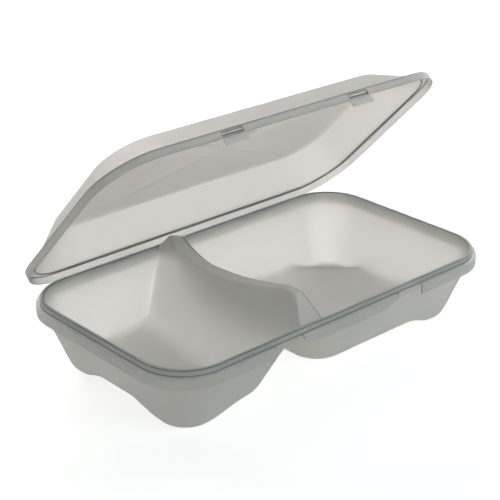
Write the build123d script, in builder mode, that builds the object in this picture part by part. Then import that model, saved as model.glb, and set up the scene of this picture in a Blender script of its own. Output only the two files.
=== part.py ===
import os
from math import cos, radians, sin, sqrt, tan

from build123d import *

# Overall sizes of the base tray, in millimetres
tray_length = 224.6
tray_width = 128.0
tray_height = 40.2
rim_corner_radius = 27.8

# Moulded section
wall = 1.5
wall_draft = 22.0
lip_height = 3.0
lip_thickness = 1.8
ledge_width = 2.3
ledge_thickness = 1.5
skirt_height = 5.5
skirt_thickness = 1.2
band_depth = 6.0
overrun = 1.0

# Bowls: the small bowl's side of the divider leans across the tray, the large bowl's side is straight
ridge_x = -20.6
divider_lean = 5.5
left_shoulder = 8.2
left_floor_run = 23.2
right_shoulder = 5.4
right_floor_run = 9.1
floor_corner_radius = 15.0
left_front_radius = 12.0
left_back_radius = 3.0
right_divider_radius = 18.0
floor_radius_share = 0.9

# Divider crest, a fin with a horn at each end
crest_half = 2.2
fin_half = 2.4
horn_height = 10.1
horn_inset = 12.9
hip_drop = 1.5
saddle_height = 0.4
saddle_share = 0.4255
back_rise_height = 3.5
back_rise_share = 0.81
front_rise_height = 3.0
front_rise_share = -0.17
front_top_share = -0.82

# Feet at the outer corners
foot_height = 6.6
foot_reach = 38.0
foot_toe = 20.0
foot_toe_radius = 8.0

# Front catches
catch_x = 42.0
catch_width = 16.0
catch_reach = 0.5
finger_width = 10.0
finger_depth = 3.4

# Lid
lid_wall = 1.4
lid_seat_gap = 0.3
flange_width = 5.0
dome_height = 19.5
dome_inset = 15.0
dome_corner_radius = 21.0
dome_shift_share = 0.414
tab_drop = 3.8
tab_thickness = 1.2
tab_side_gap = 0.6
hook_reach = 0.3
hook_height = 1.4
window_height = 2.4
window_margin = 0.8
open_angle = 46.0

# Living hinge
hinge_length = 130.0
hinge_radius = 0.6
hinge_gap = 0.12

# Levels and rim outlines that follow from the sizes above
rim_z = tray_height
ledge_z = rim_z - lip_height
skirt_z = ledge_z - skirt_height
band_z = rim_z - band_depth
floor_z = foot_height
floor_top_z = floor_z + wall
lip_length = tray_length - 2 * ledge_width
lip_width = tray_width - 2 * ledge_width
lip_corner = rim_corner_radius - ledge_width
mouth_length = lip_length - 2 * lip_thickness
mouth_width = lip_width - 2 * lip_thickness
mouth_corner = lip_corner - lip_thickness
half_x = mouth_length / 2
half_y = mouth_width / 2
draft_run = (band_z - floor_top_z) * tan(radians(wall_draft))
floor_x = half_x - draft_run
floor_y = half_y - draft_run
lean = tan(radians(divider_lean))
face_slope = (left_floor_run - left_shoulder) / (band_z - floor_top_z)
horn_z = rim_z + horn_height


def rounded_outline(corners, radii, height, margin=0):
    with BuildSketch(Plane.XY.offset(height)) as outline:
        with BuildLine():
            FilletPolyline(*corners, radius=radii, close=True)
        make_face()
        if margin:
            offset(amount=margin)
    return outline.sketch


def rim_outline(length, width, radius, height):
    with BuildSketch(Plane.XY.offset(height)) as outline:
        RectangleRounded(length, width, radius)
    return outline.sketch


# Left bowl: outline at the bottom of the rim band, and at the floor
left_top = [
    (-half_x, -half_y),
    (ridge_x - left_shoulder - lean * half_y, -half_y),
    (ridge_x - left_shoulder + lean * half_y, half_y),
    (-half_x, half_y),
]
left_floor = [
    (-floor_x, -floor_y),
    (ridge_x - left_floor_run - lean * floor_y, -floor_y),
    (ridge_x - left_floor_run + lean * floor_y, floor_y),
    (-floor_x, floor_y),
]
left_radii = [mouth_corner, left_front_radius, left_back_radius, mouth_corner]
left_floor_radii = [
    floor_corner_radius,
    left_front_radius * floor_radius_share,
    left_back_radius * floor_radius_share,
    floor_corner_radius,
]

# Right bowl
right_top = [
    (half_x, half_y),
    (ridge_x + right_shoulder, half_y),
    (ridge_x + right_shoulder, -half_y),
    (half_x, -half_y),
]
right_floor = [
    (floor_x, floor_y),
    (ridge_x + right_floor_run, floor_y),
    (ridge_x + right_floor_run, -floor_y),
    (floor_x, -floor_y),
]
right_radii = [mouth_corner, right_divider_radius, right_divider_radius, mouth_corner]
right_floor_radii = [
    floor_corner_radius,
    right_divider_radius * floor_radius_share,
    right_divider_radius * floor_radius_share,
    floor_corner_radius,
]
bowls = [
    (left_top, left_radii, left_floor, left_floor_radii),
    (right_top, right_radii, right_floor, right_floor_radii),
]


def ridge_profile(drop):
    horn_y = half_y - horn_inset
    peak_z = horn_z - drop
    with BuildSketch(Plane.YZ.offset(ridge_x - half_y)) as profile:
        with BuildLine():
            back_arc = ThreePointArc(
                (horn_y, peak_z),
                (back_rise_share * horn_y, rim_z + back_rise_height - drop),
                (saddle_share * horn_y, rim_z + saddle_height - drop),
            )
            front_arc = ThreePointArc(
                back_arc @ 1,
                (front_rise_share * horn_y, rim_z + front_rise_height - drop),
                (front_top_share * horn_y, peak_z),
            )
            Polyline(
                front_arc @ 1,
                (-horn_y, peak_z),
                (-half_y, rim_z - hip_drop - drop),
                (-half_y, band_z - wall - overrun),
                (half_y, band_z - wall - overrun),
                (half_y, rim_z - hip_drop - drop),
                back_arc @ 0,
            )
        make_face()
    return profile.sketch


def leaning_outline(margin, height):
    # Everything to the right of the divider's leaning face at one level
    face_x = ridge_x - left_shoulder + (height - band_z) * face_slope
    face_x += margin * sqrt(1 + lean**2 + face_slope**2)
    corners = [
        (face_x - lean * half_y, -half_y),
        (ridge_x + half_y, -half_y),
        (ridge_x + half_y, half_y),
        (face_x + lean * half_y, half_y),
    ]
    with BuildSketch(Plane.XY.offset(height)) as outline:
        with BuildLine():
            Polyline(*corners, close=True)
        make_face()
    return outline.sketch


def cross_profile(left_foot, left_peak, margin, low_z):
    # Section across the divider, with the large bowl's straight side at its right
    corners = [
        (ridge_x - left_foot + margin, low_z),
        (ridge_x + right_shoulder - margin, low_z),
        (ridge_x + right_shoulder - margin, band_z),
        (ridge_x + crest_half - margin, horn_z),
        (ridge_x - left_peak + margin, horn_z),
        (ridge_x - left_foot + margin, band_z),
    ]
    with BuildSketch(Plane.XZ.offset(-half_y)) as profile:
        with BuildLine():
            Polyline(*dict.fromkeys(corners), close=True)
        make_face()
    return profile.sketch


# The tent between the bowls: the leaning face and the fin, cut to the ridge line, and the hollow beneath
hollow_z = band_z - wall - overrun
with BuildPart() as tent:
    loft([leaning_outline(0, band_z), leaning_outline(0, horn_z)], ruled=True)
    extrude(cross_profile(half_y, half_y, 0, band_z), amount=2 * half_y, mode=Mode.INTERSECT)
    extrude(cross_profile(fin_half, crest_half, 0, band_z), amount=2 * half_y)
    extrude(ridge_profile(0), amount=2 * half_y, mode=Mode.INTERSECT)

with BuildPart() as tent_hollow:
    loft([leaning_outline(wall, hollow_z), leaning_outline(wall, horn_z)], ruled=True)
    extrude(cross_profile(half_y, half_y, wall, hollow_z), amount=2 * half_y, mode=Mode.INTERSECT)
    extrude(cross_profile(fin_half, crest_half, wall, hollow_z), amount=2 * half_y)
    extrude(ridge_profile(wall), amount=2 * half_y, mode=Mode.INTERSECT)


def foot_outline(side_x, side_y, corner_x, corner_y, reach, radius, height):
    corners = [
        (side_x * corner_x, side_y * corner_y),
        (side_x * (corner_x - reach), side_y * corner_y),
        (side_x * corner_x, side_y * (corner_y - reach)),
    ]
    with BuildSketch(Plane.XY.offset(height)) as outline:
        with BuildLine():
            Polyline(*corners, close=True)
        make_face()
        fillet(outline.vertices().sort_by_distance(corners[0])[0], radius)
    return outline.sketch


corner_sides = [(-1, -1), (1, -1), (1, 1), (-1, 1)]
toe_run = foot_height * tan(radians(wall_draft))
leg_loss = wall * (2 + sqrt(2))
front_y = -tray_width / 2
catch_front_y = -lip_width / 2 - catch_reach
finger_start = catch_x - catch_width / 2


def finger_outline(side):
    points = [
        (side * finger_start, skirt_z - overrun),
        (side * finger_start, skirt_z + finger_depth),
        (side * (finger_start - finger_width), skirt_z),
        (side * (finger_start - finger_width), skirt_z - overrun),
    ]
    with BuildSketch(Plane.XZ.offset(lip_width / 2)) as outline:
        with BuildLine():
            Polyline(*points, close=True)
        make_face()
    return outline.sketch


with BuildPart() as base_tray:
    # Skirt and ledge, open underneath
    extrude(rim_outline(tray_length, tray_width, rim_corner_radius, skirt_z), amount=skirt_height)
    extrude(
        rim_outline(
            tray_length - 2 * skirt_thickness,
            tray_width - 2 * skirt_thickness,
            rim_corner_radius - skirt_thickness,
            skirt_z,
        ),
        amount=skirt_height - ledge_thickness,
        mode=Mode.SUBTRACT,
    )
    # Lip and the upright band below it
    extrude(rim_outline(lip_length, lip_width, lip_corner, band_z - wall), amount=band_depth + wall)
    extrude(
        rim_outline(mouth_length, mouth_width, mouth_corner, band_z),
        amount=band_depth + overrun,
        mode=Mode.SUBTRACT,
    )
    # Bowls and feet
    for top, top_radii, floor, floor_radii in bowls:
        loft(
            [
                rounded_outline(top, top_radii, band_z, wall),
                rounded_outline(floor, floor_radii, floor_z, wall),
            ],
            ruled=True,
        )
    for side_x, side_y in corner_sides:
        loft(
            [
                foot_outline(
                    side_x, side_y, floor_x + wall, floor_y + wall, foot_reach, floor_corner_radius + wall, floor_z
                ),
                foot_outline(
                    side_x,
                    side_y,
                    floor_x + wall - toe_run,
                    floor_y + wall - toe_run,
                    foot_toe,
                    foot_toe_radius,
                    0,
                ),
            ],
            ruled=True,
        )
    add(tent.part)
    # Insides of the bowls, the feet and the tent
    for top, top_radii, floor, floor_radii in bowls:
        loft(
            [
                rounded_outline(top, top_radii, band_z),
                rounded_outline(floor, floor_radii, floor_top_z),
            ],
            ruled=True,
            mode=Mode.SUBTRACT,
        )
    for side_x, side_y in corner_sides:
        loft(
            [
                foot_outline(
                    side_x, side_y, floor_x, floor_y, foot_reach - leg_loss, floor_corner_radius, floor_top_z
                ),
                foot_outline(
                    side_x,
                    side_y,
                    floor_x - toe_run,
                    floor_y - toe_run,
                    foot_toe - leg_loss,
                    foot_toe_radius - wall,
                    wall,
                ),
            ],
            ruled=True,
            mode=Mode.SUBTRACT,
        )
    add(tent_hollow.part, mode=Mode.SUBTRACT)
    # Front catches: the skirt opens beside a short tongue, with a hollow for a fingertip
    for side in (-1, 1):
        with Locations((side * catch_x, front_y, skirt_z)):
            Box(
                catch_width,
                catch_front_y - front_y,
                skirt_height,
                align=(Align.CENTER, Align.MIN, Align.MIN),
                mode=Mode.SUBTRACT,
            )
        extrude(finger_outline(side), amount=ledge_width + overrun, mode=Mode.SUBTRACT)
base_tray.part.label = "base_tray"

# The lid is drawn on planes that lean back with it about the hinge line
hinge_y = tray_width / 2 + hinge_radius + hinge_gap
hinge_z = ledge_z + lid_seat_gap / 2
swing = radians(open_angle)
lid_plane = Plane(
    origin=(0, hinge_y - hinge_y * cos(swing), hinge_z + hinge_y * sin(swing)),
    x_dir=(1, 0, 0),
    z_dir=(0, sin(swing), cos(swing)),
)
lid_foot_z = ledge_z + lid_seat_gap
flange_z = rim_z + lid_seat_gap
flange_top_z = flange_z + lid_wall
dome_z = lid_foot_z + dome_height
dome_shift = lid_wall * dome_shift_share


def lid_outline(inset, radius, closed_z):
    with BuildSketch(lid_plane.offset(closed_z - hinge_z)) as outline:
        RectangleRounded(tray_length - 2 * inset, tray_width - 2 * inset, radius)
    return outline.sketch


with BuildPart() as lid:
    extrude(lid_outline(0, rim_corner_radius, lid_foot_z), amount=flange_top_z - lid_foot_z)
    loft(
        [
            lid_outline(flange_width, rim_corner_radius - flange_width, flange_top_z),
            lid_outline(flange_width + dome_inset, dome_corner_radius, dome_z),
        ],
        ruled=True,
    )
    extrude(
        lid_outline(lid_wall, rim_corner_radius - lid_wall, lid_foot_z),
        amount=flange_z - lid_foot_z,
        mode=Mode.SUBTRACT,
    )
    loft(
        [
            lid_outline(flange_width + dome_shift, rim_corner_radius - flange_width - dome_shift, flange_z),
            lid_outline(flange_width + dome_inset + dome_shift, dome_corner_radius - dome_shift, dome_z - lid_wall),
        ],
        ruled=True,
        mode=Mode.SUBTRACT,
    )
    # Latch tabs with a hook inside and a window above
    tab_width = catch_width - 2 * tab_side_gap
    for side in (-1, 1):
        with BuildSketch(lid_plane.offset(lid_foot_z - tab_drop - hinge_z)) as tab:
            with Locations((side * catch_x, front_y)):
                Rectangle(tab_width, tab_thickness, align=(Align.CENTER, Align.MIN))
        extrude(amount=tab_drop)
        with BuildSketch(lid_plane.offset(lid_foot_z - tab_drop - hinge_z)) as hook:
            with Locations((side * catch_x, front_y + tab_thickness)):
                Rectangle(tab_width, hook_reach, align=(Align.CENTER, Align.MIN))
        extrude(amount=hook_height)
        with BuildSketch(lid_plane.offset(flange_z - window_height - hinge_z)) as window:
            with Locations((side * catch_x, front_y)):
                Rectangle(tab_width - 2 * window_margin, lid_wall, align=(Align.CENTER, Align.MIN))
        extrude(amount=window_height, mode=Mode.SUBTRACT)
lid.part.label = "lid"

with BuildPart() as living_hinge:
    with BuildSketch(Plane.YZ.offset(-hinge_length / 2)) as web:
        with Locations((hinge_y, hinge_z)):
            Circle(hinge_radius)
    extrude(amount=hinge_length)
living_hinge.part.label = "living_hinge"

os.makedirs("parts", exist_ok=True)
export_step(base_tray.part, "parts/base_tray.step")
export_step(lid.part, "parts/lid.step")
export_step(living_hinge.part, "parts/living_hinge.step")
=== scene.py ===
from math import atan2, cos, pi, radians, sin, sqrt, tan
import bmesh
import bpy
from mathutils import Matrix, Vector


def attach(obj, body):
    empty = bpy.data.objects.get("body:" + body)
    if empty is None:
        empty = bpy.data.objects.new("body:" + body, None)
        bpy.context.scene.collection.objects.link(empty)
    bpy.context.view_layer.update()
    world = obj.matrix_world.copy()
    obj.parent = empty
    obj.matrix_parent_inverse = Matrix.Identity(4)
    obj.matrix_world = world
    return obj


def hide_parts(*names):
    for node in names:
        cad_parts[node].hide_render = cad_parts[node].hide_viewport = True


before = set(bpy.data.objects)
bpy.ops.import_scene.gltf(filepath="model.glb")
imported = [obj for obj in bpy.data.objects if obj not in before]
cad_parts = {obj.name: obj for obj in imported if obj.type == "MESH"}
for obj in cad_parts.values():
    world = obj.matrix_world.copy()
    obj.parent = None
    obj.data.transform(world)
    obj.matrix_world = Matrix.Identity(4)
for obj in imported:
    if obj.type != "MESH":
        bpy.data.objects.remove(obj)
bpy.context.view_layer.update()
print("frame loaded:", sorted(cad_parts))

mm = 0.001


def srgb(hexText, alpha=1.0):
    channels = [int(hexText[i:i + 2], 16) / 255 for i in (1, 3, 5)]
    linear = [c / 12.92 if c <= 0.04045 else ((c + 0.055) / 1.055) ** 2.4 for c in channels]
    return (*linear, alpha)


def addNode(tree, kind, settings=None, links=None):
    node = tree.nodes.new(kind)
    for name, value in (settings or {}).items():
        if isinstance(name, int) or name in node.inputs:
            node.inputs[name].default_value = value
        else:
            setattr(node, name, value)
    for name, source in (links or {}).items():
        tree.links.new(source, node.inputs[name])
    return node


def freshMaterial(name):
    material = bpy.data.materials.new(name)
    material.use_nodes = True
    material.node_tree.nodes.clear()
    return material


# what every look of the plastic shares: the fine spark texture, which breaks up most of the mirrored light
polypropylene = {
    "ior": 1.49, "specular": 0.25, "scatterTint": (1.0, 1.0, 0.94), "roughnessSpread": 0.05,
    "grainSize": 0.9, "grainDepth": 0.02, "grainStrength": 0.12,
}
# natural polypropylene, injection moulded: milky see-through with a soft satin skin
frostedPlastic = {"colour": "#ECEAE6", "roughness": 0.5, "transmission": 0.55, "scatter": 4.0, "flowSize": 60.0}
# the same plastic where the lip and the ledge stand solid, made greyer: painted shade that stands in for the
# darker look of the thick rim
rimShadePlastic = {"colour": "#E8EBE9", "roughness": 0.42, "transmission": 0.5, "scatter": 3.0, "flowSize": 60.0}
# the same plastic at the fold, milkier and brighter than the walls: a painted highlight along the hinge
foldHighlightPlastic = {"colour": "#FAFAF7", "roughness": 0.34, "transmission": 0.2, "scatter": 3.0, "flowSize": 30.0}
# the same plastic made dark grey for the thin beads along the edges: painted shade that draws a dark line along
# each edge and crease
shadeLinePlastic = {"colour": "#8A908E", "roughness": 0.4, "transmission": 0.4, "scatter": 1.0, "flowSize": 60.0}


def makePolypropylene(name, look):
    material = freshMaterial(name)
    tree = material.node_tree
    place = addNode(tree, "ShaderNodeTexCoord")
    grain = addNode(tree, "ShaderNodeTexNoise", {"Scale": 1 / (polypropylene["grainSize"] * mm), "Detail": 2.0},
                    {"Vector": place.outputs["Object"]})
    bump = addNode(tree, "ShaderNodeBump", {
        "Strength": polypropylene["grainStrength"], "Distance": polypropylene["grainDepth"] * mm,
    }, {"Height": grain.outputs["Fac"]})
    flow = addNode(tree, "ShaderNodeTexNoise", {"Scale": 1 / (look["flowSize"] * mm), "Detail": 1.0},
                   {"Vector": place.outputs["Object"]})
    spread = polypropylene["roughnessSpread"]
    rough = addNode(tree, "ShaderNodeMapRange",
                    {"To Min": look["roughness"] - spread, "To Max": look["roughness"] + spread},
                    {"Value": flow.outputs["Fac"]})
    shader = addNode(tree, "ShaderNodeBsdfPrincipled", {
        "Base Color": srgb(look["colour"]),
        "IOR": polypropylene["ior"],
        "Specular IOR Level": polypropylene["specular"],
        "Transmission Weight": look["transmission"],
        "Subsurface Weight": 1.0,
        "Subsurface Radius": polypropylene["scatterTint"],
        "Subsurface Scale": look["scatter"] * mm,
    }, {"Roughness": rough.outputs["Result"], "Normal": bump.outputs["Normal"]})
    addNode(tree, "ShaderNodeOutputMaterial", links={"Surface": shader.outputs["BSDF"]})
    return material


plastic = makePolypropylene("frostedPolypropylene", frostedPlastic)
rimShadeMaterial = makePolypropylene("shadedPolypropyleneRim", rimShadePlastic)
foldHighlightMaterial = makePolypropylene("highlightPolypropyleneFold", foldHighlightPlastic)
shadeLineMaterial = makePolypropylene("shadeLinePolypropylene", shadeLinePlastic)


def roundedLoop(corners, radii, arcSteps, sideSteps):
    # closed outline, anticlockwise from above: each corner's arc, then the side to the next corner
    count = len(corners)
    arcs = []
    for i in range(count):
        point = Vector(corners[i])
        arriving = (point - Vector(corners[i - 1])).normalized()
        leaving = (Vector(corners[(i + 1) % count]) - point).normalized()
        turn = atan2(arriving.x * leaving.y - arriving.y * leaving.x, arriving.dot(leaving))
        start = point - arriving * radii[i] * tan(turn / 2)
        centre = start + Vector((-arriving.y, arriving.x)) * radii[i]
        first = atan2(start.y - centre.y, start.x - centre.x)
        angles = [first + turn * k / arcSteps for k in range(arcSteps + 1)]
        arcs.append([(centre.x + radii[i] * cos(a), centre.y + radii[i] * sin(a)) for a in angles])
    loop = []
    for i in range(count):
        loop += arcs[i]
        first, last = arcs[i][-1], arcs[(i + 1) % count][0]
        for k in range(1, sideSteps[i]):
            share = k / sideSteps[i]
            loop.append((first[0] + (last[0] - first[0]) * share, first[1] + (last[1] - first[1]) * share))
    return loop


def insetCorners(corners, depth):
    count = len(corners)
    lines = []
    for i in range(count):
        a, b = Vector(corners[i]), Vector(corners[(i + 1) % count])
        along = (b - a).normalized()
        lines.append((a + Vector((-along.y, along.x)) * depth, along))
    result = []
    for i in range(count):
        p, d = lines[i - 1]
        q, e = lines[i]
        cross = d.x * e.y - d.y * e.x
        step = ((q - p).x * e.y - (q - p).y * e.x) / cross
        result.append(tuple(p + d * step))
    return result


def smooth(value):
    value = min(1, max(0, value))
    return value * value * (3 - 2 * value)


def mix(a, b, share):
    return tuple(x + (y - x) * share for x, y in zip(a, b))


tray = {
    "length": 224.6, "width": 128.0, "height": 40.2, "rimCorner": 27.8,
    "lipHeight": 3.0, "lipThickness": 1.8, "ledge": 2.3, "skirt": 5.5, "band": 6.0, "draftRun": 10.68,
    "floorCorner": 15.0, "footHeight": 4.6, "rampStart": 38.0, "rampEnd": 19.5, "shell": 0.85,
    "ridge": -20.6, "lean": tan(radians(5.5)), "leftShoulder": 8.2, "leftFloorRun": 24.32,
    "rightShoulder": 5.4, "rightFloorRun": 9.38, "frontRadius": 12.0, "backRadius": 0.5, "rightRadius": 18.0,
    "frontFloorRadius": 10.8, "backFloorRadius": 0.5, "rightFloorRadius": 16.2,
    "leftMiddle": (-72.0, 0.0), "rightMiddle": (43.0, 0.0),
    "crestHalf": 2.2, "finHalf": 2.4, "horn": 10.1, "hornInset": 12.9, "hipDrop": 1.5, "saddle": 0.4,
    "saddleShare": 0.4255, "backCurve": (0.81, 3.5), "frontCurve": (-0.17, 3.0), "frontHornShare": -0.82,
    "catchStart": 33.2, "catchEnd": 51.0, "fingerRun": 10.0, "fingerRise": 3.4, "fingerPast": 2.0,
    "softRun": 8.0, "softRise": 7.5, "softCorner": 2.0, "footTightening": 0.45,
}
rimZ = tray["height"]
bandZ = rimZ - tray["band"]
ledgeZ = rimZ - tray["lipHeight"]
skirtZ = ledgeZ - tray["skirt"]
mouthX = tray["length"] / 2 - tray["ledge"] - tray["lipThickness"]
mouthY = tray["width"] / 2 - tray["ledge"] - tray["lipThickness"]
mouthCorner = tray["rimCorner"] - tray["ledge"] - tray["lipThickness"]
floorX = mouthX - tray["draftRun"]
floorY = mouthY - tray["draftRun"]
floorTop = tray["footHeight"] + tray["shell"]
hornY = mouthY - tray["hornInset"]
hornZ = rimZ + tray["horn"]
faceSlope = (tray["leftFloorRun"] - tray["leftShoulder"]) / (bandZ - floorTop)


def footShare(x, y):
    # 0 on the floor, 1 on the four corner feet, with a ramp between
    reach = (floorX - abs(x)) + (floorY - abs(y))
    return smooth((tray["rampStart"] - reach) / (tray["rampStart"] - tray["rampEnd"]))


def floorHeight(x, y):
    return floorTop - tray["footHeight"] * footShare(x, y)


def faceX(y, z):
    return tray["ridge"] - tray["leftShoulder"] + tray["lean"] * y + (z - bandZ) * faceSlope


def finX(z):
    return tray["ridge"] - tray["finHalf"] + (tray["finHalf"] - tray["crestHalf"]) * (z - bandZ) / (hornZ - bandZ)


def arcThrough(a, b, c, y):
    # height at y on the circle through three points of the crest line
    (x1, y1), (x2, y2), (x3, y3) = a, b, c
    d = 2 * (x1 * (y2 - y3) + x2 * (y3 - y1) + x3 * (y1 - y2))
    s1, s2, s3 = x1 * x1 + y1 * y1, x2 * x2 + y2 * y2, x3 * x3 + y3 * y3
    ux = (s1 * (y2 - y3) + s2 * (y3 - y1) + s3 * (y1 - y2)) / d
    uy = (s1 * (x3 - x2) + s2 * (x1 - x3) + s3 * (x2 - x1)) / d
    radius = sqrt((x1 - ux) ** 2 + (y1 - uy) ** 2)
    return uy - sqrt(max(0, radius * radius - (y - ux) ** 2))


def crestHeight(y):
    hipZ = rimZ - tray["hipDrop"]
    saddle = (tray["saddleShare"] * hornY, rimZ + tray["saddle"])
    back, front = [(share * hornY, rimZ + rise) for share, rise in (tray["backCurve"], tray["frontCurve"])]
    frontHorn = (tray["frontHornShare"] * hornY, hornZ)
    if abs(y) >= hornY:
        return hornZ + (hipZ - hornZ) * (abs(y) - hornY) / tray["hornInset"]
    if y > saddle[0]:
        return arcThrough((hornY, hornZ), back, saddle, y)
    if y > frontHorn[0]:
        return arcThrough(saddle, front, frontHorn, y)
    return hornZ


leftTop = [
    (-mouthX, -mouthY), (faceX(-mouthY, bandZ), -mouthY), (faceX(mouthY, bandZ), mouthY), (-mouthX, mouthY)]
leftFloor = [
    (-floorX, -floorY), (faceX(-floorY, floorTop), -floorY), (faceX(floorY, floorTop), floorY), (-floorX, floorY)]
leftRadii = [mouthCorner, tray["frontRadius"], tray["backRadius"], mouthCorner]
leftFloorRadii = [tray["floorCorner"], tray["frontFloorRadius"], tray["backFloorRadius"], tray["floorCorner"]]
rightEdge = tray["ridge"] + tray["rightShoulder"]
rightFloorEdge = tray["ridge"] + tray["rightFloorRun"]
rightTop = [(mouthX, mouthY), (rightEdge, mouthY), (rightEdge, -mouthY), (mouthX, -mouthY)]
rightFloor = [(floorX, floorY), (rightFloorEdge, floorY), (rightFloorEdge, -floorY), (floorX, -floorY)]
rightRadii = [mouthCorner, tray["rightRadius"], tray["rightRadius"], mouthCorner]
rightFloorRadii = [tray["floorCorner"], tray["rightFloorRadius"], tray["rightFloorRadius"], tray["floorCorner"]]
arcSteps = 14
leftSides = [20, 64, 30, 40]
rightSides = [42, 64, 42, 40]

skin = {"mergeGap": 0.004, "sharpAngle": 38.0, "thicknessClamp": 1.5}


class Sheet:
    # collects the rings and rows of one moulded skin, in millimetres
    def __init__(self):
        self.mesh = bmesh.new()

    def ring(self, points):
        return [self.mesh.verts.new((x * mm, y * mm, z * mm)) for x, y, z in points]

    def band(self, first, second, closed=True, flip=False, keep=None, paint=0):
        count = len(first)
        for i in range(count if closed else count - 1):
            k = (i + 1) % count
            corners = [first[i], first[k], second[k], second[i]]
            if keep and not keep([v.co / mm for v in corners]):
                continue
            self.mesh.faces.new(corners[::-1] if flip else corners).material_index = paint

    def fan(self, ring, point):
        tip = self.mesh.verts.new((point[0] * mm, point[1] * mm, point[2] * mm))
        for i in range(len(ring)):
            self.mesh.faces.new([ring[i], ring[(i + 1) % len(ring)], tip])

    def finish(self, name, thickness, materials):
        gap = skin["mergeGap"] * mm
        bmesh.ops.remove_doubles(self.mesh, verts=self.mesh.verts, dist=gap)
        bmesh.ops.dissolve_degenerate(self.mesh, edges=self.mesh.edges, dist=gap)
        data = bpy.data.meshes.new(name)
        for material in materials:
            data.materials.append(material)
        self.mesh.to_mesh(data)
        self.mesh.free()
        holder = bpy.data.objects.new(name, data)
        bpy.context.scene.collection.objects.link(holder)
        wall = holder.modifiers.new("wall", "SOLIDIFY")
        wall.thickness = thickness * mm
        wall.offset = -1
        wall.use_even_offset = True
        wall.thickness_clamp = skin["thicknessClamp"]
        solid = bpy.data.meshes.new_from_object(holder.evaluated_get(bpy.context.evaluated_depsgraph_get()))
        holder.modifiers.clear()
        holder.data = solid
        solid.polygons.foreach_set("use_smooth", [True] * len(solid.polygons))
        solid.set_sharp_from_angle(angle=radians(skin["sharpAngle"]))
        print(name, "faces:", len(solid.polygons))
        return holder


wallShares = (0.12, 0.3, 0.5, 0.7, 0.88, 1.0)
softSteps, floorSteps = 8, 16


def addBowl(sheet, top, topRadii, floor, floorRadii, sides, middle):
    topLoop = roundedLoop(top, topRadii, arcSteps, sides)
    floorLoop = roundedLoop(floor, floorRadii, arcSteps, sides)
    inner = insetCorners(floor, tray["softRun"])
    innerRadii = [max(r - tray["softRun"], tray["softCorner"]) for r in floorRadii]
    innerLoop = roundedLoop(inner, innerRadii, arcSteps, sides)
    depth = bandZ - floorTop
    starts, turns, ends = [], [], []
    for a, b, c in zip(topLoop, floorLoop, innerLoop):
        lowest = floorHeight(*b)
        soft = 1 - tray["footTightening"] * footShare(*b)  # the edge is tighter on the feet
        share = (bandZ - lowest) / depth
        upper = share - tray["softRise"] * soft / depth
        end = mix(b, c, soft)
        turns.append((*mix(a, b, share), lowest))
        starts.append((*mix(a, b, upper), bandZ - depth * upper))
        ends.append((*end, floorHeight(*end)))
    rings = [[(*a, bandZ) for a in topLoop]]
    for share in wallShares:
        rings.append([mix((*a, bandZ), b, share) for a, b in zip(topLoop, starts)])
    for k in range(1, softSteps + 1):
        t = k / softSteps
        rings.append([
            tuple((1 - t) ** 2 * p + 2 * t * (1 - t) * q + t * t * r for p, q, r in zip(a, b, c))
            for a, b, c in zip(starts, turns, ends)
        ])
    for k in range(1, floorSteps):
        points = [mix(c[:2], middle, k / floorSteps) for c in ends]
        rings.append([(*p, floorHeight(*p)) for p in points])
    made = [sheet.ring(points) for points in rings]
    for first, second in zip(made, made[1:]):
        sheet.band(first, second)
    sheet.fan(made[-1], (*middle, floorHeight(*middle)))
    return rings[0]


lidSide = {"clearance": 0.15, "slope": 1.03, "start": 4.9}
crestEdge = ((0.2, 0.35), (0.55, 0.08), (1.0, 0.0))  # run in from the crest's edge, and drop there
crestDrop, foldMargin = 0.7, 0.5
shelfSteps, leanSteps, crestSteps, straightSteps = 3, 8, 6, 6
# the point of each row that lies on the crest's right edge
crestEdgeColumn = shelfSteps + leanSteps + 1 + len(crestEdge) + crestSteps


def lidRoom(y):
    # how high the divider may stand at y under the closed lid's sloping side
    inwards = tray["width"] / 2 - lidSide["start"] - abs(y)
    return rimZ - lidSide["clearance"] + lidSide["slope"] * max(0, inwards)


def dividerRow(a, b):
    # one row of the deck: shelf, leaning face, crest, straight face, shelf
    def rowY(x):
        return a[1] + (b[1] - a[1]) * (x - a[0]) / (b[0] - a[0])

    footX = a[0]
    for _ in range(4):
        footX = max(a[0], min(faceX(rowY(footX), bandZ), tray["ridge"] - tray["finHalf"]))
    y = rowY(footX)
    crestZ = crestHeight(rowY(tray["ridge"]))
    crestLeft = min(finX(crestZ), faceX(y, crestZ))
    share = (crestZ - bandZ) / (hornZ - bandZ)
    crestRight = tray["ridge"] + tray["rightShoulder"] + (tray["crestHalf"] - tray["rightShoulder"]) * share
    foldZ = bandZ + max(0, (finX(bandZ) - footX) / faceSlope)
    points = [(a[0] + (footX - a[0]) * k / shelfSteps, bandZ) for k in range(shelfSteps)]
    top = crestZ - crestDrop
    leftTopX = min(finX(top), faceX(y, top)) if crestLeft < finX(crestZ) else finX(top)
    for k in range(leanSteps + 1):
        t = k / leanSteps
        if foldZ < top - foldMargin:
            foldX = faceX(y, foldZ)
            points.append((
                (1 - t) ** 2 * footX + 2 * t * (1 - t) * foldX + t * t * leftTopX,
                (1 - t) ** 2 * bandZ + 2 * t * (1 - t) * foldZ + t * t * top))
        else:
            points.append((footX + (leftTopX - footX) * t, bandZ + (top - bandZ) * t))
    width = crestRight - crestLeft
    for run, drop in crestEdge:
        points.append((crestLeft + run, crestZ - drop))
    for k in range(1, crestSteps):
        points.append((crestLeft + 1 + (width - 2) * k / crestSteps, crestZ))
    for run, drop in crestEdge[::-1]:
        points.append((crestRight - run, crestZ - drop))
    for k in range(straightSteps + 1):
        points.append((
            crestRight + (rightEdge - crestRight) * k / straightSteps, top + (bandZ - top) * k / straightSteps))
    points += [(rightEdge + (b[0] - rightEdge) * k / shelfSteps, bandZ) for k in range(1, shelfSteps + 1)]
    return [(x, rowY(x), min(z, lidRoom(rowY(x)))) for x, z in points]


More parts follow.
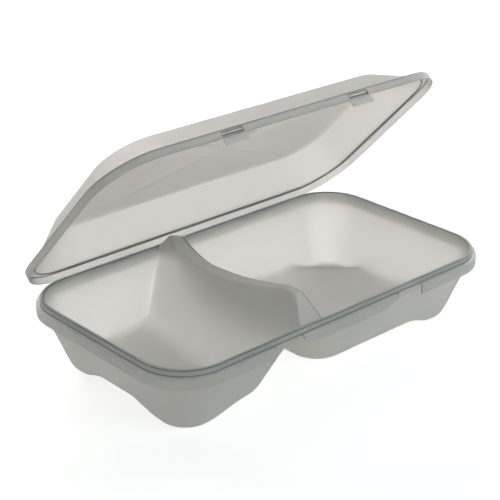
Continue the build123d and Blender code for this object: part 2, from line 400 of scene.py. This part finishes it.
def outwards(x, y):
    dx = x - max(-(mouthX - mouthCorner), min(mouthX - mouthCorner, x))
    dy = y - max(-(mouthY - mouthCorner), min(mouthY - mouthCorner, y))
    size = sqrt(dx * dx + dy * dy)
    return dx / size, dy / size


traySheet = Sheet()
leftLoop = addBowl(traySheet, leftTop, leftRadii, leftFloor, leftFloorRadii, leftSides, tray["leftMiddle"])
rightLoop = addBowl(
    traySheet, rightTop, rightRadii, rightFloor, rightFloorRadii, rightSides, tray["rightMiddle"])
print("bowls laid out")

# the deck between the bowls, from the front wall to the back wall
leftStart = arcSteps + leftSides[0]
rightStart = arcSteps + rightSides[0]
deckCount = 2 * arcSteps + leftSides[1] + 1
leftLine = leftLoop[leftStart:leftStart + deckCount]
rightLine = rightLoop[rightStart:rightStart + deckCount][::-1]
rows = [dividerRow(a, b) for a, b in zip(leftLine, rightLine)]
madeRows = [traySheet.ring(row) for row in rows]
for first, second in zip(madeRows, madeRows[1:]):
    traySheet.band(first, second, closed=False)

# the rim: upright lip, ledge and skirt swept round the mouth
mouthLoop = leftLoop[leftStart + deckCount - 1:] + leftLoop[:leftStart + 1] + rows[0][1:-1]
mouthLoop += rightLoop[rightStart + deckCount - 1:] + rightLoop[:rightStart + 1] + rows[-1][1:-1][::-1]
lip, ledge = tray["lipThickness"], tray["ledge"]
edge, edgeMid, nook, nookMid = 0.5, 0.15, 0.45, 0.12  # small roundings on the edges and in the inner corner
skirtFold = 2.5
# steps out from the mouth, and the height at each
rimProfile = [
    (0, rimZ - edge), (edgeMid, rimZ - edgeMid), (edge, rimZ),
    (lip - edge, rimZ), (lip - edgeMid, rimZ - edgeMid), (lip, rimZ - edge),
    (lip, ledgeZ + nook), (lip + nookMid, ledgeZ + nookMid), (lip + nook, ledgeZ),
    (lip + ledge - edge, ledgeZ), (lip + ledge - edgeMid, ledgeZ - edgeMid), (lip + ledge, ledgeZ - edge),
    (lip + ledge, skirtZ + skirtFold), (lip + ledge, skirtZ),
]
ledgeStart, ledgeEnd = 9, 10  # the catches cut the rim from the first on, the greyer plastic of painted shade ends at the second
# how far the two lowest rings of the skirt follow the finger notch
skirtLift = {len(rimProfile) - 1: 1.0, len(rimProfile) - 2: 0.55}


def atCatch(corners):
    x = sum(c.x for c in corners) / 4
    y = sum(c.y for c in corners) / 4
    return y < -mouthY and tray["catchStart"] < abs(x) < tray["catchEnd"]


def fingerLift(x, y):
    start, end = tray["catchStart"] - tray["fingerRun"], tray["catchStart"] + tray["fingerPast"]
    if y > 0 or not start < abs(x) < end:
        return 0
    return tray["fingerRise"] * (abs(x) - tray["catchStart"] + tray["fingerRun"]) / tray["fingerRun"]


lastRing = traySheet.ring(mouthLoop)
for index, (offset, height) in enumerate(rimProfile):
    points = []
    for x, y, z in mouthLoop:
        nx, ny = outwards(x, y)
        top = height + fingerLift(x, y) * skirtLift.get(index, 0)
        points.append((x + nx * offset, y + ny * offset, max(top, z) if index == 0 else top))
    nextRing = traySheet.ring(points)
    cut = (lambda corners: not atCatch(corners)) if index >= ledgeStart else None
    # paint 1 is the greyer rim plastic: painted shade on the lip and the ledge
    traySheet.band(lastRing, nextRing, flip=True, keep=cut, paint=1 if 1 <= index <= ledgeEnd else 0)
    lastRing = nextRing
trayShell = traySheet.finish("trayShell", tray["shell"], [plastic, rimShadeMaterial])

lid = {
    "wall": 0.9, "foot": -2.7, "flangeTop": 1.7, "flange": 5.0,
    "domeRise": 15.1, "domeRun": 15.0, "domeCorner": 21.0,
    "hingeY": 64.72, "hingeZ": 37.35, "open": 46.0,
    "tabStart": 34.6, "tabEnd": 49.4, "tabDrop": 3.8,
    "windowStart": 35.4, "windowEnd": 48.6, "windowTop": 0.2, "windowFoot": -2.1,
}
lidX, lidY = tray["length"] / 2, tray["width"] / 2
domeZ = lid["flangeTop"] + lid["domeRise"]
domeInset = lid["flange"] + lid["domeRun"]
frontStops = sorted(
    [s * v for s in (-1, 1) for v in (lid["tabStart"], lid["tabEnd"], lid["windowStart"], lid["windowEnd"])]
    + list(range(-80, 81, 8)))
cornerSteps, endSteps, backSteps = 20, 20, 40


def lidLoop(inset, radius):
    sx, sy = lidX - inset - radius, lidY - inset - radius
    hx, hy = lidX - inset, lidY - inset
    loop = []
    for cx, cy, start in ((-sx, -sy, pi), (sx, -sy, 1.5 * pi), (sx, sy, 0), (-sx, sy, 0.5 * pi)):
        angles = [start + k * pi / 2 / cornerSteps for k in range(cornerSteps + 1)]
        loop += [(cx + radius * cos(a), cy + radius * sin(a)) for a in angles]
        if start == pi:
            loop += [(x * sx / (lidX - tray["rimCorner"]), -hy) for x in frontStops]
        elif start == 1.5 * pi:
            loop += [(hx, -sy + 2 * sy * k / endSteps) for k in range(1, endSteps)]
        elif start == 0:
            loop += [(sx - 2 * sx * k / backSteps, hy) for k in range(1, backSteps)]
        else:
            loop += [(-hx, sy - 2 * sy * k / endSteps) for k in range(1, endSteps)]
    return loop


outer = tray["rimCorner"]
# inset from the lid's outline, corner radius and height over the rim, from the tabs up to the dome
lidProfile = [
    (0, outer, lid["foot"] - lid["tabDrop"]),
    (0, outer, lid["foot"]),
    (0, outer, lid["windowFoot"]),
    (0, outer, lid["windowTop"]),
    (0, outer, lid["flangeTop"] - edge),
    (edgeMid, outer - edgeMid, lid["flangeTop"] - edgeMid),
    (edge, outer - edge, lid["flangeTop"]),
    (lid["flange"] - 0.9, outer - lid["flange"] + 0.9, lid["flangeTop"]),
    (lid["flange"] - 0.1, outer - lid["flange"] + 0.1, lid["flangeTop"] + 0.25),
    (lid["flange"] + 0.7, outer - lid["flange"] - 0.2, lid["flangeTop"] + 0.9),
    (lid["flange"] + 5.0, outer - lid["flange"] - 0.5, lid["flangeTop"] + 5.2),
    (lid["flange"] + 10.0, outer - lid["flange"] - 1.0, lid["flangeTop"] + 10.2),
    (domeInset - 1.0, lid["domeCorner"], domeZ - 1.0),
    (domeInset - 0.1, lid["domeCorner"], domeZ - 0.3),
    (domeInset + 1.0, lid["domeCorner"] - 1.0, domeZ),
    (domeInset + 8.0, lid["domeCorner"] - 6.0, domeZ),
]


def opened(point):
    # lid points are laid out closed, then swung back about the hinge line
    x, y, z = point
    turn = radians(lid["open"])
    dy, dz = y - lid["hingeY"], z + rimZ - lid["hingeZ"]
    return x, lid["hingeY"] + dy * cos(turn) + dz * sin(turn), lid["hingeZ"] - dy * sin(turn) + dz * cos(turn)


def between(low, high):
    def test(i, loop):
        x = (loop[i][0] + loop[(i + 1) % len(loop)][0]) / 2
        y = (loop[i][1] + loop[(i + 1) % len(loop)][1]) / 2
        return y < -lidY + 0.1 and low < abs(x) < high
    return test


onTab = between(lid["tabStart"], lid["tabEnd"])
inWindow = between(lid["windowStart"], lid["windowEnd"])
lidSheet = Sheet()
loops = [lidLoop(inset, radius) for inset, radius, _ in lidProfile]
lidRings = [lidSheet.ring([opened((x, y, z)) for x, y in loop]) for loop, (_, _, z) in zip(loops, lidProfile)]
for index in range(len(lidRings) - 1):
    first, second = lidRings[index], lidRings[index + 1]
    for i in range(len(first)):
        k = (i + 1) % len(first)
        if index == 0 and not onTab(i, loops[0]) or index == 2 and inWindow(i, loops[0]):
            continue
        lidSheet.mesh.faces.new([first[i], first[k], second[k], second[i]])
domeShares = (0.7, 0.4, 0.15)
for share in domeShares:
    points = [opened((x * share, y * share, domeZ)) for x, y in loops[-1]]
    nextRing = lidSheet.ring(points)
    lidSheet.band(lidRings[-1], nextRing)
    lidRings.append(nextRing)
lidSheet.fan(lidRings[-1], opened((0, 0, domeZ)))
loose = [v for v in lidSheet.mesh.verts if not v.link_faces]
bmesh.ops.delete(lidSheet.mesh, geom=loose, context="VERTS")
lidShell = lidSheet.finish("lidShell", lid["wall"], [plastic])


def makeBeadTree(name, material):
    # sweeps a round bead along every path in the mesh that it is given, in the dark plastic of painted shade
    tree = bpy.data.node_groups.new(name, "GeometryNodeTree")
    tree.interface.new_socket("Paths", in_out="INPUT", socket_type="NodeSocketGeometry")
    radius = tree.interface.new_socket("Radius", in_out="INPUT", socket_type="NodeSocketFloat")
    tree.interface.new_socket("Beads", in_out="OUTPUT", socket_type="NodeSocketGeometry")
    given = addNode(tree, "NodeGroupInput")
    paths = addNode(tree, "GeometryNodeMeshToCurve", links={"Mesh": given.outputs["Paths"]})
    ring = addNode(tree, "GeometryNodeCurvePrimitiveCircle", {"Resolution": 8},
                   {"Radius": given.outputs["Radius"]})
    sweep = addNode(tree, "GeometryNodeCurveToMesh", {"Fill Caps": True},
                    {"Curve": paths.outputs["Curve"], "Profile Curve": ring.outputs["Curve"]})
    real = addNode(tree, "GeometryNodeRealizeInstances", links={"Geometry": sweep.outputs["Mesh"]})
    painted = addNode(tree, "GeometryNodeSetMaterial", {"Material": material},
                      {"Geometry": real.outputs["Geometry"]})
    addNode(tree, "NodeGroupOutput", links={"Beads": painted.outputs["Geometry"]})
    return tree, radius.identifier


beadTree, beadRadius = makeBeadTree("sweptShadeBead", shadeLineMaterial)


def addBeads(name, paths, radius, body):
    data = bpy.data.meshes.new(name)
    points, edges = [], []
    for path, closed in paths:
        start = len(points)
        points += [tuple(c * mm for c in point) for point in path]
        edges += [(start + i, start + i + 1) for i in range(len(path) - 1)]
        if closed:
            edges.append((len(points) - 1, start))
    data.from_pydata(points, edges, [])
    holder = bpy.data.objects.new(name, data)
    bpy.context.scene.collection.objects.link(holder)
    sweep = holder.modifiers.new("sweep", "NODES")
    sweep.node_group = beadTree
    sweep[beadRadius] = radius * mm
    made = bpy.data.meshes.new_from_object(holder.evaluated_get(bpy.context.evaluated_depsgraph_get()))
    holder.modifiers.clear()
    holder.data = made
    made.polygons.foreach_set("use_smooth", [True] * len(made.polygons))
    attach(holder, body)
    print(name, "faces:", len(made.polygons))


# radius of each bead, and how far its middle lies in from the edge that it follows; each bead is a dark tube of
# painted shade that draws a dark line along that edge
bead = {
    "lidEdge": (0.32, 0.32), "lidEdgeDrop": 0.42, "lidSeal": (0.38, -0.1), "lidSealRise": 0.47,
    "lidWindow": 0.3, "lidFoot": (0.18, 0.2), "lidFootRise": 0.15,
    "lip": (0.24, 0.28), "lipDrop": 0.32, "ledge": (0.26, 0.1),
    "catchEdge": 0.2, "catchInset": 0.25, "crest": 0.2, "crestSink": (0.1, 0.12),
}


def lidPath(inset, radius, z):
    return [opened((x, y, z)) for x, y in lidLoop(inset, radius)]


def rimPath(offset, z):
    path = []
    for x, y, _ in mouthLoop:
        nx, ny = outwards(x, y)
        path.append((x + nx * offset, y + ny * offset, z))
    return path


def windowPath(side):
    low, high = side * lid["windowStart"], side * lid["windowEnd"]
    top, foot = lid["windowTop"], lid["windowFoot"]
    corners = [(low, top), (high, top), (high, foot), (low, foot)]
    return [opened((x, -lidY + bead["lidWindow"], z)) for x, z in corners]


def catchPaths():
    # the cut ends of the ledge and skirt on both sides of each catch
    stops = sorted(x for x, y, _ in mouthLoop if y < -mouthY + 0.01)
    cut = [tray["catchStart"] < abs(a + b) / 2 < tray["catchEnd"] for a, b in zip(stops, stops[1:])]
    ends = [stops[i + 1] for i in range(len(cut) - 1) if cut[i] != cut[i + 1]]
    frontY = -tray["width"] / 2 + bead["catchInset"]
    paths = []
    for x in ends:
        low = skirtZ + fingerLift(x, frontY) + 0.3
        corners = [
            (x, frontY + ledge - 0.4, ledgeZ - 0.1), (x, frontY + 0.3, ledgeZ - 0.1),
            (x, frontY, ledgeZ - 0.4), (x, frontY, low)]
        paths.append((corners, False))
    return paths


radius, inset = bead["lidEdge"]
edgePath = lidPath(inset, outer - inset, lid["flangeTop"] - bead["lidEdgeDrop"])
addBeads("lidEdgeShadeBead", [(edgePath, True)], radius, "lid")
radius, inset = bead["lidSeal"]
sealPath = lidPath(lid["flange"] + inset, outer - lid["flange"] - inset, bead["lidSealRise"])
addBeads("lidSealShadeBead", [(sealPath, True)], radius, "lid")
windowPaths = [(windowPath(side), True) for side in (-1, 1)]
addBeads("lidWindowShadeBead", windowPaths, bead["lidWindow"], "lid")
radius, inset = bead["lidFoot"]
footPath = lidPath(inset, outer - inset, lid["foot"] + bead["lidFootRise"])
addBeads("lidFootShadeBead", [(footPath, True)], radius, "lid")
radius, inset = bead["lip"]
lipPaths = [(rimPath(offset, rimZ - bead["lipDrop"]), True) for offset in (inset, lip - inset)]
addBeads("lipShadeBead", lipPaths, radius, "tray")
radius, inset = bead["ledge"]
addBeads("ledgeShadeBead", [(rimPath(lip + inset, ledgeZ + inset), True)], radius, "tray")
addBeads("catchEdgeShadeBead", catchPaths(), bead["catchEdge"], "tray")
sinkX, sinkZ = bead["crestSink"]
crestPath = [(x - sinkX, y, z - sinkZ) for x, y, z in (row[crestEdgeColumn] for row in rows)]
addBeads("crestShadeBead", [(crestPath, False)], bead["crest"], "tray")

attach(trayShell, "tray")
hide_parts("base_tray")
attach(lidShell, "lid")
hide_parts("lid")
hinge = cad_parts["living_hinge"]
# the hinge gets the brighter fold plastic: a painted highlight along the fold
hinge.data.materials.clear()
hinge.data.materials.append(foldHighlightMaterial)
print("shells ride on their bodies")

studio = {
    "floorSize": 3.2, "floorDrop": 0.0005, "floorColour": "#F4F4F2", "floorLift": 0.67, "floorThrough": 1.0,
    "worldStrength": 0.0, "lampAim": (0, 0, 0.05),
    "lamps": [
        ("backSoftbox", (0.3, 1.5, 0.8), (1.6, 1.2), 18.8, "#FFF4F0"),
        ("rightSoftbox", (1.5, 0.2, 0.8), (1.2, 1.2), 12.8, "#FFFCFA"),
        ("frontSoftbox", (0.2, -1.5, 0.9), (1.2, 1.2), 8.8, "#E4FAFC"),
        ("leftSoftbox", (-1.5, 0.2, 0.8), (1.2, 1.2), 2.2, "#E0FAFC"),
    ],
}


def raySwitch(tree):
    # 1 for rays that leave the camera, and 1 for rays that plastic has bent or mirrored
    path = addNode(tree, "ShaderNodeLightPath")
    plasticRay = addNode(tree, "ShaderNodeMath", {"operation": "MAXIMUM"}, {
        0: path.outputs["Is Glossy Ray"], 1: path.outputs["Is Transmission Ray"]})
    return path.outputs["Is Camera Ray"], plasticRay.outputs[0]


bpy.ops.mesh.primitive_plane_add(size=studio["floorSize"], location=(0, 0, -studio["floorDrop"]))
floor = bpy.context.object
floor.name = "studioFloor"
floorPaint = freshMaterial("palePaper")
tree = floorPaint.node_tree
cameraRay, plasticRay = raySwitch(tree)
paper = addNode(tree, "ShaderNodeBsdfDiffuse", {"Color": srgb(studio["floorColour"])})
seen = addNode(tree, "ShaderNodeMath", {"operation": "MULTIPLY", 1: studio["floorLift"]}, {0: cameraRay})
lift = addNode(tree, "ShaderNodeMath", {"operation": "MULTIPLY_ADD", 1: studio["floorThrough"]}, {
    0: plasticRay, 2: seen.outputs[0]})
glow = addNode(tree, "ShaderNodeEmission", {"Color": (1, 1, 1, 1)}, {"Strength": lift.outputs[0]})
both = addNode(tree, "ShaderNodeAddShader", links={0: paper.outputs[0], 1: glow.outputs[0]})
addNode(tree, "ShaderNodeOutputMaterial", links={"Surface": both.outputs[0]})
floor.data.materials.append(floorPaint)

world = bpy.data.worlds.new("studioWorld")
bpy.context.scene.world = world
world.use_nodes = True
worldTree = world.node_tree
worldTree.nodes.clear()
cameraRay, plasticRay = raySwitch(worldTree)
anyRay = addNode(worldTree, "ShaderNodeMath", {"operation": "MAXIMUM"}, {0: cameraRay, 1: plasticRay})
soft = addNode(worldTree, "ShaderNodeBackground", {"Color": (1, 1, 1, 1), "Strength": studio["worldStrength"]})
white = addNode(worldTree, "ShaderNodeBackground", {"Color": (1, 1, 1, 1), "Strength": 1.0})
pick = addNode(worldTree, "ShaderNodeMixShader", links={
    0: anyRay.outputs[0], 1: soft.outputs[0], 2: white.outputs[0]})
addNode(worldTree, "ShaderNodeOutputWorld", links={"Surface": pick.outputs[0]})


def addLamp(name, location, size, power, colour):
    lamp = bpy.data.lights.new(name, "AREA")
    lamp.shape = "RECTANGLE"
    lamp.size, lamp.size_y = size
    lamp.energy = power
    lamp.color = srgb(colour)[:3]
    holder = bpy.data.objects.new(name, lamp)
    bpy.context.scene.collection.objects.link(holder)
    holder.location = location
    look = Vector(studio["lampAim"]) - Vector(location)
    holder.rotation_euler = look.to_track_quat("-Z", "Y").to_euler()


for lampSpec in studio["lamps"]:
    addLamp(*lampSpec)

photoView = {
    "lens": 98.45, "sensor": 36, "location": (-0.4399, -0.4728, 0.3401), "aim": (0.01029, 0.02249, 0.0402),
}
camera = bpy.data.cameras.new("photoCamera")
camera.lens = photoView["lens"]
camera.sensor_width = photoView["sensor"]
cameraObject = bpy.data.objects.new("photoCamera", camera)
bpy.context.scene.collection.objects.link(cameraObject)
cameraObject.location = photoView["location"]
look = Vector(photoView["aim"]) - cameraObject.location
cameraObject.rotation_euler = look.to_track_quat("-Z", "Y").to_euler()
bpy.context.scene.camera = cameraObject
bpy.context.scene.view_settings.view_transform = "Standard"
print("studio and camera set")
